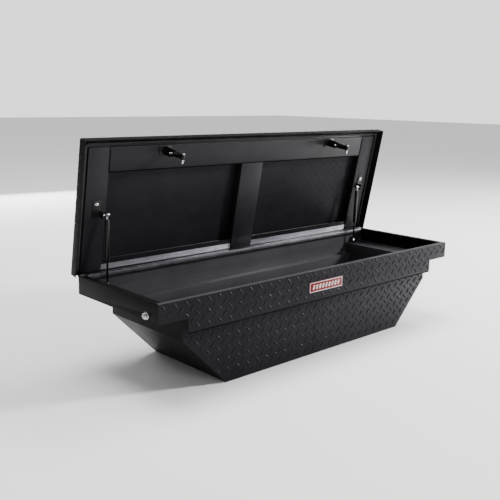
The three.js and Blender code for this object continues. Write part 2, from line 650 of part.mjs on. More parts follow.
// Hook lever in its latched place: push arm up, hook over the striker's bolt.
function latchLever() {
  const { x, z } = LATCH_PIVOT;
  const outline = [
    [-x - 5, z + 27], [-x - 5, z + 4], [-x - 11, z - 2], [-x - 9, z - 12], [-x + 6, z - 34],
    [-x + 17, z - 40.3], [-x + 41, z - 40.3], [-x + 43, z - 36], [-x + 41, z - 31], [-x + 22, z - 27],
    [-x + 11, z - 6], [-x + 10, z + 4], [-x + 5, z + 9], [-x + 5, z + 27],
  ];
  return cut(alongY(outline, [LOCK_Y - 2.5, LOCK_Y + 2.5]),
    bar('y', LOCK_Y - 5, LOCK_Y + 5, 4 + GAP, [-x, 0, z], 20));
}

// Eye bracket that keeps the push rod in line behind the front apron.
function rodGuide(side) {
  const wall = -HALF_DEPTH + SHEET + GAP;
  const x = span(side, 688, 690.5);
  return cut(join(
    box(span(side, 676, 702), [wall, wall + SHEET], [LOCK_Z - 13, LOCK_Z + 13]),
    box(x, [wall, LOCK_Y], [LOCK_Z - 9, LOCK_Z + 9]),
    bar('x', ...x, 9, [0, LOCK_Y, LOCK_Z], 20)),
  bar('x', ...span(side, 680, 700), 3 + GAP, [0, LOCK_Y, LOCK_Z], 16));
}

function buildLock(root, label, side) {
  add(root, `lock_body_${label}`, lockPiece(side, LOCK_BODY, 28), CHROME);
  add(root, `lock_nut_${label}`, lockNut(side), ZINC);
  add(root, `push_button_${label}`, lockPiece(side, BUTTON, 24), CHROME);
  add(root, `key_plug_${label}`, keyPlug(side), ZINC);
  const rodEnds = span(side, LATCH_PIVOT.x + 8, HALF - 24 - GAP);
  add(root, `push_rod_${label}`, bar('x', ...rodEnds, 3, [0, LOCK_Y, LOCK_Z], 12), ZINC);
  add(root, `rod_guide_${label}`, rodGuide(side), BLACK_STEEL);
  add(root, `latch_bracket_${label}`, latchBracket(side), BLACK_STEEL);

  const lever = latchLever();
  add(root, `latch_lever_${label}`, side < 0 ? lever : lever.mirror([1, 0, 0]), ZINC);
}

// ---------------------------------------------------------------- the whole box
const toolBox = new THREE.Group();
buildTub(toolBox);
add(toolBox, 'hinge_tub_leaf', tubLeaf(), ZINC);
add(toolBox, 'hinge_pin',
  bar('x', -HINGE_HALF, HINGE_HALF, PIN_RADIUS, [0, HINGE_Y, HINGE_Z], 10), ZINC);
buildLid(toolBox);
for (const [label, side] of SIDES) {
  buildStrut(toolBox, label, side);
  buildLock(toolBox, label, side);
}

export default toolBox;
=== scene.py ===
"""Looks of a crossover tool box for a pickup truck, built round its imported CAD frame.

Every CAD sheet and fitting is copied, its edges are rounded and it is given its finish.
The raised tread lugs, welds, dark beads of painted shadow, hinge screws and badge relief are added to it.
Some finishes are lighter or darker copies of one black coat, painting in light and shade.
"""

import json
import logging
import math
from dataclasses import dataclass, field
from enum import Enum
from typing import Any, Callable, Sequence

import bpy
import numpy as np
from mathutils import Matrix, Vector


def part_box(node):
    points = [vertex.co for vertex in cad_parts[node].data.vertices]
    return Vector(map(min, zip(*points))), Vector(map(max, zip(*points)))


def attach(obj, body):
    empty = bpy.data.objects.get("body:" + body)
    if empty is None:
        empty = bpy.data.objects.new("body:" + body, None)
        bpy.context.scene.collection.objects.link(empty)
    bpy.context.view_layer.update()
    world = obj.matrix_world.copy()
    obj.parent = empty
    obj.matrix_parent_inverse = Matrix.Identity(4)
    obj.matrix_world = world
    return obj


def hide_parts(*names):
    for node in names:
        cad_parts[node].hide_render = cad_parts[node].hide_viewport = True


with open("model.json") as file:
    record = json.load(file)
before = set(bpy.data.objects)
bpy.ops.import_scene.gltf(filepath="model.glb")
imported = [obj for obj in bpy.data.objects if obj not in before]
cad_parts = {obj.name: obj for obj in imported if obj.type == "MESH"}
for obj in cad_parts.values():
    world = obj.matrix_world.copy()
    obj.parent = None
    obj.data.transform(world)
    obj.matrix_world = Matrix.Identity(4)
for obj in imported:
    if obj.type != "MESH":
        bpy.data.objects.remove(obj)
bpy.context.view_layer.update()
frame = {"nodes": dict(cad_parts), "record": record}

LOG = logging.getLogger("tool_box")
MM = 0.001

OPEN_ANGLE = math.radians(79.0)
HINGE_AXIS = Vector((0.0, 284.5, 373.0)) * MM


class Body(str, Enum):
    """Moving bodies that new pieces ride on."""

    TUB = "tub"
    LID = "lid"


class Side(Enum):
    """The two ends of the box, with the sign of their X."""

    LEFT = -1
    RIGHT = 1

    @property
    def label(self) -> str:
        """Name of the end as the CAD nodes write it."""
        return self.name.lower()


# ---------------------------------------------------------------- shader maths


class Wire:
    """A float socket that turns Python arithmetic into Math nodes."""

    def __init__(self, graph: "Graph", socket: bpy.types.NodeSocket) -> None:
        """Keeps the graph and the socket."""
        self.graph = graph
        self.socket = socket

    def _math(self, operation: str, first: Any, second: Any) -> "Wire":
        """Adds one Math node.

        Args:
            operation: the Math node's operation.
            first: left value or wire.
            second: right value or wire.

        Returns:
            The wire of the result.
        """
        return self.graph.wire("ShaderNodeMath", {"operation": operation}, {0: first, 1: second}, 0)

    def __add__(self, other: Any) -> "Wire":
        """Sum."""
        return self._math("ADD", self, other)

    __radd__ = __add__

    def __mul__(self, other: Any) -> "Wire":
        """Product."""
        return self._math("MULTIPLY", self, other)

    __rmul__ = __mul__

    def __sub__(self, other: Any) -> "Wire":
        """Difference."""
        return self._math("SUBTRACT", self, other)

    def __rsub__(self, other: Any) -> "Wire":
        """Reflected difference."""
        return self._math("SUBTRACT", other, self)

    def __pow__(self, other: Any) -> "Wire":
        """Power."""
        return self._math("POWER", self, other)


class Graph:
    """Node tree of one material, with its Principled shader."""

    def __init__(self, name: str) -> None:
        """Makes an empty material.

        Args:
            name: the material's name.
        """
        self.material = bpy.data.materials.new(name)
        self.material.use_nodes = True
        self.tree = self.material.node_tree
        self.tree.nodes.clear()
        self.shader = self.node("ShaderNodeBsdfPrincipled")
        output = self.node("ShaderNodeOutputMaterial")
        self.tree.links.new(self.shader.outputs[0], output.inputs["Surface"])
        self.place = self.node("ShaderNodeTexCoord").outputs["Object"]

    def node(
        self,
        kind: str,
        settings: dict[str, Any] | None = None,
        sockets: dict[Any, Any] | None = None,
    ) -> bpy.types.Node:
        """Adds a node.

        Args:
            kind: the node's type.
            settings: properties set before the sockets; "stops" fills a colour ramp.
            sockets: values or links of its inputs, by name or number.

        Returns:
            The new node.
        """
        made = self.tree.nodes.new(kind)
        for key, value in (settings or {}).items():
            if key == "stops":
                self._fill_ramp(made, value)
            else:
                setattr(made, key, value)
        for key, value in (sockets or {}).items():
            self.feed(made.inputs[key], value)
        return made

    @staticmethod
    def _fill_ramp(node: bpy.types.Node, stops: Sequence[tuple[float, float]]) -> None:
        """Sets a ramp's stops, each (position, grey).

        Args:
            node: the ramp node.
            stops: position and grey of each stop.
        """
        ramp = node.color_ramp
        while len(ramp.elements) < len(stops):
            ramp.elements.new(0.5)
        for element, (position, grey) in zip(ramp.elements, stops):
            element.position = position
            element.color = (grey, grey, grey, 1.0)

    def feed(self, socket: bpy.types.NodeSocket, value: Any) -> None:
        """Links or sets one input socket.

        Args:
            socket: the input.
            value: a wire, an output socket or a number.
        """
        if isinstance(value, Wire):
            self.tree.links.new(value.socket, socket)
        elif isinstance(value, bpy.types.NodeSocket):
            self.tree.links.new(value, socket)
        else:
            socket.default_value = value

    def wire(
        self,
        kind: str,
        settings: dict[str, Any] | None,
        sockets: dict[Any, Any] | None,
        output: Any,
    ) -> Wire:
        """Adds a node and wraps one of its outputs.

        Args:
            kind: the node's type.
            settings: properties set before the sockets.
            sockets: values or links of its inputs.
            output: name or number of the output.

        Returns:
            The wire of that output.
        """
        return Wire(self, self.node(kind, settings, sockets).outputs[output])

    def stretched(self, scale: tuple[float, float, float]) -> bpy.types.NodeSocket:
        """Object coordinates with each axis scaled."""
        return self.node("ShaderNodeMapping", None, {"Vector": self.place, "Scale": scale}).outputs[0]

    def noise(
        self, scale: float, detail: float = 3.0, rough: float = 0.5, where: Any = None
    ) -> Wire:
        """Noise value between 0 and 1.

        Args:
            scale: cells per metre.
            detail: octaves.
            rough: weight of the finer octaves.
            where: coordinates, or None for the object's own.

        Returns:
            The wire of the noise.
        """
        return self.wire(
            "ShaderNodeTexNoise",
            {"noise_dimensions": "3D"},
            {"Vector": where or self.place, "Scale": scale, "Detail": detail, "Roughness": rough},
            "Fac",
        )

    def ramp(self, value: Wire, stops: Sequence[tuple[float, float]]) -> Wire:
        """Passes a value through a grey ramp."""
        return self.wire("ShaderNodeValToRGB", {"stops": stops}, {0: value}, 0)

    def blend(self, amount: Wire, low: Sequence[float], high: Sequence[float]) -> bpy.types.NodeSocket:
        """Mixes two colours by a value.

        Args:
            amount: 0 for the first colour, 1 for the second.
            low: first colour.
            high: second colour.

        Returns:
            The colour's socket.
        """
        mixed = self.node(
            "ShaderNodeMix", {"data_type": "RGBA"}, {0: amount, 6: (*low, 1.0), 7: (*high, 1.0)}
        )
        return mixed.outputs[2]

    def bump(self, height: Wire, distance: float, strength: float) -> bpy.types.NodeSocket:
        """Bump normal from a height value.

        Args:
            height: the height.
            distance: its scale, in metres.
            strength: share of the bump that shows.

        Returns:
            The normal's socket.
        """
        return self.node(
            "ShaderNodeBump", None, {"Height": height, "Distance": distance, "Strength": strength}
        ).outputs[0]

    def shade(self, **values: Any) -> bpy.types.Material:
        """Sets the Principled shader's sockets, with spaces written as underscores.

        Args:
            values: a value or link for each socket.

        Returns:
            The finished material.
        """
        for key, value in values.items():
            self.feed(self.shader.inputs[key.replace("_", " ")], value)
        return self.material


# ---------------------------------------------------------------- finishes


@dataclass(frozen=True)
class PowderCoat:
    """Baked powder coat: fine orange peel, with faint handling marks and dust."""

    name: str
    dark: tuple[float, float, float]
    light: tuple[float, float, float]
    roughness: float
    peel: float
    specular: float = 0.5

    def make(self) -> bpy.types.Material:
        """Builds the material."""
        g = Graph(self.name)
        cloud = g.noise(5.0, 5.0, 0.6)
        speck = g.noise(420.0, 2.0, 0.6)
        wipe = g.noise(9.0, 4.0, 0.7, g.stretched((0.35, 1.0, 1.6)))
        tone = g.ramp(cloud * 0.6 + speck * 0.4, ((0.36, 0.0), (0.64, 1.0)))
        peel = g.noise(900.0, 2.0, 0.5) + g.noise(240.0, 1.0, 0.4) * 0.6
        return g.shade(
            Base_Color=g.blend(tone, self.dark, self.light),
            Roughness=self.roughness + (wipe - 0.5) * 0.16 + (speck - 0.5) * 0.08,
            Specular_IOR_Level=self.specular,
            Normal=g.bump(peel, 0.0004, self.peel),
        )


@dataclass(frozen=True)
class PlatedMetal:
    """Plated or polished metal, brushed along one axis where it is stretched."""

    name: str
    dark: tuple[float, float, float]
    light: tuple[float, float, float]
    roughness: float
    spread: float
    grain: tuple[float, float, float] = (1.0, 1.0, 1.0)
    relief: float = 0.05

    def make(self) -> bpy.types.Material:
        """Builds the material."""
        g = Graph(self.name)
        brush = g.noise(260.0, 3.0, 0.6, g.stretched(self.grain))
        stain = g.noise(22.0, 4.0, 0.6)
        tone = g.ramp(stain * 0.5 + brush * 0.5, ((0.35, 0.0), (0.66, 1.0)))
        return g.shade(
            Base_Color=g.blend(tone, self.dark, self.light),
            Metallic=1.0,
            Roughness=self.roughness + (stain - 0.5) * self.spread + (brush - 0.5) * self.spread,
            Normal=g.bump(brush, 0.0002, self.relief),
        )


@dataclass(frozen=True)
class FoamRubber:
    """Extruded sponge rubber with an open skin."""

    name: str
    dark: tuple[float, float, float]
    light: tuple[float, float, float]
    roughness: float
    specular: float = 0.35

    def make(self) -> bpy.types.Material:
        """Builds the material."""
        g = Graph(self.name)
        pores = g.noise(1400.0, 2.0, 0.6)
        bloom = g.noise(30.0, 4.0, 0.6)
        return g.shade(
            Base_Color=g.blend(g.ramp(bloom, ((0.35, 0.0), (0.7, 1.0))), self.dark, self.light),
            Roughness=self.roughness + (bloom - 0.5) * 0.12,
            Specular_IOR_Level=self.specular,
            Normal=g.bump(pores, 0.0003, 0.4),
        )


@dataclass(frozen=True)
class Enamel:
    """Coloured enamel with a soft sheen."""

    name: str
    dark: tuple[float, float, float]
    light: tuple[float, float, float]
    roughness: float

    def make(self) -> bpy.types.Material:
        """Builds the material."""
        g = Graph(self.name)
        flow = g.noise(60.0, 3.0, 0.5)
        dust = g.noise(700.0, 2.0, 0.5)
        return g.shade(
            Base_Color=g.blend(g.ramp(flow, ((0.3, 0.0), (0.7, 1.0))), self.dark, self.light),
            Roughness=self.roughness + (dust - 0.5) * 0.1,
            Specular_IOR_Level=0.15,
            Normal=g.bump(flow, 0.0006, 0.08),
        )


@dataclass(frozen=True)
class Finishes:
    """All the finishes of the box, made once."""

    tread: bpy.types.Material
    coat: bpy.types.Material
    inner: bpy.types.Material
    cavity: bpy.types.Material
    steel: bpy.types.Material
    sealer: bpy.types.Material
    seal: bpy.types.Material
    zinc: bpy.types.Material
    cap: bpy.types.Material
    leaf: bpy.types.Material
    chrome: bpy.types.Material
    red: bpy.types.Material
    pale: bpy.types.Material

    @classmethod
    def make(cls) -> "Finishes":
        """Builds every material."""
        return cls(
            tread=PowderCoat(
                "tread_coat", (0.0085, 0.0085, 0.0102), (0.0130, 0.0130, 0.0154), 0.25, 0.16, 0.045
            ).make(),
            # The same black powder coat, about half as light as the tread: painted shade, mainly on the
            # end panels, which face away from the key light.
            coat=PowderCoat(
                "satin_coat", (0.0036, 0.0038, 0.0036), (0.0058, 0.0062, 0.0058), 0.40, 0.22, 0.045
            ).make(),
            inner=PowderCoat(
                "inner_coat", (0.0105, 0.0102, 0.0120), (0.0150, 0.0147, 0.0170), 0.36, 0.18, 0.11
            ).make(),
            # The same black powder coat, about four times as light as the tread: painted light on the
            # faces inside the box and on upward faces such as the rim's top edge.
            cavity=PowderCoat(
                "cavity_coat", (0.0380, 0.0374, 0.0420), (0.0520, 0.0512, 0.0570), 0.38, 0.18, 0.22
            ).make(),
            steel=PowderCoat(
                "black_steel", (0.0030, 0.0030, 0.0032), (0.0060, 0.0060, 0.0064), 0.30, 0.16, 0.25
            ).make(),
            # Near-black finish of the beads that stand in for shadow lines under the aprons and along the
            # lid's seams: painted shadow, not a real material of the box.
            sealer=FoamRubber(
                "seam_sealer", (0.0012, 0.0012, 0.0012), (0.0026, 0.0026, 0.0026), 0.85, 0.03
            ).make(),
            seal=FoamRubber("seal_rubber", (0.006, 0.006, 0.006), (0.013, 0.013, 0.013), 0.72).make(),
            zinc=PlatedMetal("zinc_plate", (0.24, 0.24, 0.25), (0.40, 0.40, 0.42), 0.34, 0.16).make(),
            cap=PlatedMetal(
                "dull_zinc", (0.10, 0.098, 0.11), (0.20, 0.197, 0.215), 0.44, 0.14, (0.04, 1.0, 1.0)
            ).make(),
            leaf=PlatedMetal(
                "hinge_steel", (0.26, 0.25, 0.29), (0.38, 0.37, 0.41), 0.44, 0.14, (0.04, 1.0, 1.0)
            ).make(),
            chrome=PlatedMetal("chrome_plate", (0.40, 0.41, 0.42), (0.62, 0.63, 0.65), 0.20, 0.10).make(),
            red=Enamel("badge_red", (0.125, 0.0008, 0.0030), (0.165, 0.0014, 0.005), 0.28).make(),
            pale=Enamel("badge_pale", (0.42, 0.40, 0.39), (0.52, 0.50, 0.49), 0.34).make(),
        )


# ---------------------------------------------------------------- modelling tools


def select_only(obj: bpy.types.Object) -> None:
    """Deselects everything, then selects one object and makes it active."""
    bpy.ops.object.select_all(action="DESELECT")
    obj.select_set(True)
    bpy.context.view_layer.objects.active = obj


def edit(obj: bpy.types.Object, work: Callable[[], None]) -> None:
    """Runs operators in edit mode on the whole of one object.

    Args:
        obj: the object.
        work: the function that runs the operators.
    """
    select_only(obj)
    bpy.ops.object.mode_set(mode="EDIT")
    bpy.ops.mesh.select_all(action="SELECT")
    work()
    bpy.ops.object.mode_set(mode="OBJECT")


def apply_modifier(obj: bpy.types.Object, kind: str, **settings: Any) -> None:
    """Adds a modifier, sets it and applies it.

    Args:
        obj: the object.
        kind: the modifier's type.
        settings: its properties.
    """
    select_only(obj)
    modifier = obj.modifiers.new(kind.lower(), kind)
    for key, value in settings.items():
        setattr(modifier, key, value)
    bpy.ops.object.modifier_apply(modifier=modifier.name)


def settle(obj: bpy.types.Object, smooth_degrees: float = 38.0) -> None:
    """Puts an object's place into its mesh and smooths its shading up to an angle.

    Args:
        obj: the object.
        smooth_degrees: sharpest bend that is shaded smooth.
    """
    select_only(obj)
    bpy.ops.object.transform_apply(location=True, rotation=True, scale=True)
    bpy.ops.object.shade_smooth_by_angle(angle=math.radians(smooth_degrees))


def dress(
    obj: bpy.types.Object,
    name: str,
    body: str,
    material: bpy.types.Material,
    replaced: Sequence[str] = (),
) -> bpy.types.Object:
    """Names a finished piece, gives it its finish and puts it on its body.

    Args:
        obj: the piece.
        name: its name.
        body: the CAD body that it rides on.
        material: its finish.
        replaced: CAD nodes that it stands for.

    Returns:
        The same piece.
    """
    obj.name = obj.data.name = name
    obj.data.materials.clear()
    obj.data.materials.append(material)
    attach(obj, body)
    if replaced:
        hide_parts(*replaced)
    LOG.info("%s on %s", name, body)
    return obj


NODE_BODY: dict[str, str] = {
    node: body
    for body, nodes in frame["record"]["behaviour"]["bodies"].items()
    for node in nodes
}


def weigh_bends(obj: bpy.types.Object, cut_weight: float, thin_mm: float = 4.0) -> None:
    """Marks bends of a sheet for a full round, and its cut edges for a lesser one.

    Args:
        obj: a merged sheet.
        cut_weight: share of the round that a cut edge takes.
        thin_mm: a face narrower than this is the sheet's own thickness.
    """
    mesh = obj.data
    widths, around = [], {}
    for face in mesh.polygons:
        loop = [mesh.vertices[i].co for i in face.vertices]
        rim = sum((a - b).length for a, b in zip(loop, [*loop[1:], loop[0]]))
        widths.append(2 * face.area / rim / MM)
        for key in face.edge_keys:
            around.setdefault(key, []).append(face.index)
    weights = mesh.attributes.new("bevel_weight_edge", "FLOAT", "EDGE")
    for edge in mesh.edges:
        faces = around.get(tuple(sorted(edge.vertices)), [])
        if len(faces) != 2:
            continue
        first, second = (mesh.polygons[i].normal for i in faces)
        if first.angle(second, 0.0) > math.radians(28.0):
            bend = all(widths[i] > thin_mm for i in faces)
            weights.data[edge.index].value = 1.0 if bend else cut_weight


def rounded_copy(
    node: str,
    material: bpy.types.Material,
    radius_mm: float,
    segments: int = 2,
    bend_mm: float = 0.0,
) -> bpy.types.Object:
    """Copies a CAD node, merges its mesh, rounds its edges and dresses it.

    Args:
        node: the CAD node.
        material: its finish.
        radius_mm: edge radius.
        segments: steps in the round.
        bend_mm: radius of a folded sheet's bends, or 0 for an even round.

    Returns:
        The finished piece, which replaces the node.
    """
    obj = bpy.data.objects.new(f"{node}_shell", frame["nodes"][node].data.copy())
    bpy.context.scene.collection.objects.link(obj)

    def merge() -> None:
        """Joins loose triangles and drops the edges inside flat faces."""
        bpy.ops.mesh.customdata_custom_splitnormals_clear()
        bpy.ops.mesh.remove_doubles(threshold=2e-6)
        bpy.ops.mesh.dissolve_limited(angle_limit=math.radians(0.6))

    edit(obj, merge)
    if bend_mm:
        weigh_bends(obj, radius_mm / bend_mm)
        apply_modifier(
            obj, "BEVEL", width=bend_mm * MM, segments=3,
            limit_method="WEIGHT", use_clamp_overlap=True,
        )
    else:
        apply_modifier(
            obj, "BEVEL", width=radius_mm * MM, segments=segments,
            limit_method="ANGLE", angle_limit=math.radians(34.0), use_clamp_overlap=True,
        )
    settle(obj)
    return dress(obj, f"{node}_shell", NODE_BODY[node], material, [node])


def joined(pieces: Sequence[bpy.types.Object]) -> bpy.types.Object:
    """Joins several objects into the first.

    Args:
        pieces: the objects.

    Returns:
        The joined object.
    """
    bpy.ops.object.select_all(action="DESELECT")
    for piece in pieces:
        piece.select_set(True)
    bpy.context.view_layer.objects.active = pieces[0]
    if len(pieces) > 1:
        bpy.ops.object.join()
    return pieces[0]


def stamp(pattern: bpy.types.Object, places: Sequence[Matrix]) -> bpy.types.Object:
    """Copies a modelled shape to each place, every copy with its own mesh, and joins them.

    Args:
        pattern: the shape, modelled at the origin; it is removed.
        places: one matrix for each copy.

    Returns:
        The joined copies.
    """
    copies = []
    for place in places:
        mesh = pattern.data.copy()
        mesh.transform(place)
        copy = bpy.data.objects.new("copy", mesh)
        bpy.context.scene.collection.objects.link(copy)
        copies.append(copy)
    bpy.data.objects.remove(pattern, do_unlink=True)
    return joined(copies)


def bead(
    start: Sequence[float], end: Sequence[float], radius: float = 2.0, pitch: float = 3.4
) -> bpy.types.Object:
    """Models a bead between two points as a rod with evenly spaced swellings.

    Args:
        start: first end, in millimetres.
        end: second end, in millimetres.
        radius: the bead's radius at its swellings.
        pitch: distance between swellings.

    Returns:
        The bead.
    """
    a, b = Vector(start) * MM, Vector(end) * MM
    run = b - a
    bpy.ops.object.select_all(action="DESELECT")
    bpy.ops.mesh.primitive_cylinder_add(
        vertices=10, radius=radius * MM, depth=run.length, location=(a + b) / 2,
        rotation=run.to_track_quat("Z", "Y").to_euler(), end_fill_type="NGON")
    rod = bpy.context.active_object
    bpy.ops.object.transform_apply(location=True, rotation=True, scale=True)

    def divide() -> None:
        """Cuts the rod into rings."""
        bpy.ops.mesh.subdivide(number_cuts=9)

    edit(rod, divide)
    along = run.normalized()
    for vertex in rod.data.vertices:
        t = (vertex.co - a).dot(along)
        centre = a + along * t
        swell = 0.78 + 0.22 * abs(math.sin(t / (pitch * MM) * math.pi))
        vertex.co = centre + (vertex.co - centre) * swell
    return rod


# Takes a place on the shut lid to where it is when the lid stands open.
LID_TURN = (
    Matrix.Translation(HINGE_AXIS)
    @ Matrix.Rotation(-OPEN_ANGLE, 4, "X")
    @ Matrix.Translation(-HINGE_AXIS)
)


# ---------------------------------------------------------------- tread plate


@dataclass
class TreadLugs:
    """Raised lugs in two crossing directions on a flat face of tread plate.

    The face is given by its own axes: the lugs stand out along its third one. Taper is the share of
    its width that a lug loses at its points, and root the share of its height sunk in the sheet.
    """

    name: str
    body: str
    plane: Matrix
    outline: Sequence[tuple[float, float]]
    height: float = 2.0
    length: float = 33.0
    width: float = 9.5
    pitch_across: float = 52.0
    pitch_up: float = 46.0
    margin: float = 1.0
    taper: float = 0.35
    root: float = 0.15
    shift: tuple[float, float] = (0.0, 0.0)

    def lug(self) -> bpy.types.Object:
        """Models one lug: half of a long drop, drawn out to points."""
        bpy.ops.object.select_all(action="DESELECT")
        bpy.ops.mesh.primitive_uv_sphere_add(segments=12, ring_count=8, radius=1.0)
        lug = bpy.context.active_object
        lug.rotation_euler = (0.0, math.pi / 2, 0.0)
        bpy.ops.object.transform_apply(location=True, rotation=True, scale=True)

        def halve() -> None:
            """Cuts away the half below the sheet."""
            bpy.ops.mesh.bisect(plane_co=(0, 0, -self.root), plane_no=(0, 0, 1), clear_inner=True)

        edit(lug, halve)
        for vertex in lug.data.vertices:
            x, y, z = vertex.co
            slim = 1.0 - self.taper * x * x
            vertex.co = (x * self.length / 2 * MM, y * slim * self.width / 2 * MM, z * self.height * MM)
        return lug

    def inside(self, points: np.ndarray) -> np.ndarray:
        """Which points lie within the outline.

        Args:
            points: one row of two numbers for each point.

        Returns:
            True for each point that lies inside.
        """
        edges = list(zip(self.outline, [*self.outline[1:], self.outline[0]]))
        hit = np.zeros(len(points), bool)
        for (x0, y0), (x1, y1) in edges:
            if y0 == y1:
                continue
            spans = (y0 > points[:, 1]) != (y1 > points[:, 1])
            cross = x0 + (points[:, 1] - y0) * (x1 - x0) / (y1 - y0)
            hit ^= spans & (points[:, 0] < cross)
        return hit

    def fits(self, x: float, y: float, angle: float) -> bool:
        """Whether a whole lug lies within the outline, clear of its edge by the margin.

        Args:
            x: the lug's centre along the first axis.
            y: its centre along the second.
            angle: its turn, in radians.

        Returns:
            True where it fits.
        """
        reach, half = self.length / 2 + self.margin, self.width / 2 + self.margin
        along = np.array((math.cos(angle), math.sin(angle)))
        across = np.array((-along[1], along[0]))
        centre = np.array((x, y))
        corners = [centre + along * reach * s for s in (-1, -0.5, 0.5, 1)]
        corners += [centre + across * half * s for s in (-1, 1)]
        return bool(self.inside(np.array(corners)).all())

    def places(self) -> list[Matrix]:
        """Centres and turns of all the lugs that fit."""
        xs, ys = [p[0] for p in self.outline], [p[1] for p in self.outline]
        found = []
        for half in (0, 1):
            angle = math.radians(-45.0 if half == 0 else 45.0)
            start_x = self.shift[0] + half * self.pitch_across / 2
            start_y = self.shift[1] + half * self.pitch_up / 2
            for i in range(math.floor((min(xs) - start_x) / self.pitch_across),
                           math.ceil((max(xs) - start_x) / self.pitch_across) + 1):
                for j in range(math.floor((min(ys) - start_y) / self.pitch_up),
                               math.ceil((max(ys) - start_y) / self.pitch_up) + 1):
                    x = start_x + i * self.pitch_across
                    y = start_y + j * self.pitch_up
                    if self.fits(x, y, angle):
                        local = Matrix.Translation(Vector((x, y, 0.0)) * MM)
                        found.append(self.plane @ local @ Matrix.Rotation(angle, 4, "Z"))
        return found

    def build(self, material: bpy.types.Material) -> bpy.types.Object:
        """Stamps the lugs and dresses them.

        Args:
            material: their finish.

        Returns:
            The joined lugs.
        """
        piece = stamp(self.lug(), self.places())
        select_only(piece)
        bpy.ops.object.shade_smooth_by_angle(angle=math.radians(60.0))
        return dress(piece, self.name, self.body, material)


def plane_of(origin: Vector, across: Vector, up: Vector) -> Matrix:
    """Frame of a flat face: its third axis is across x up.

    Args:
        origin: a point on the face, in metres.
        across: direction of the outline's first number.
        up: direction of the outline's second number.

    Returns:
        The matrix from the face's own axes to the row frame.
    """
    x, y = across.normalized(), up.normalized()
    z = x.cross(y)
    made = Matrix((x, y, z)).transposed().to_4x4()
    made.translation = origin
    return made


# ---------------------------------------------------------------- tub


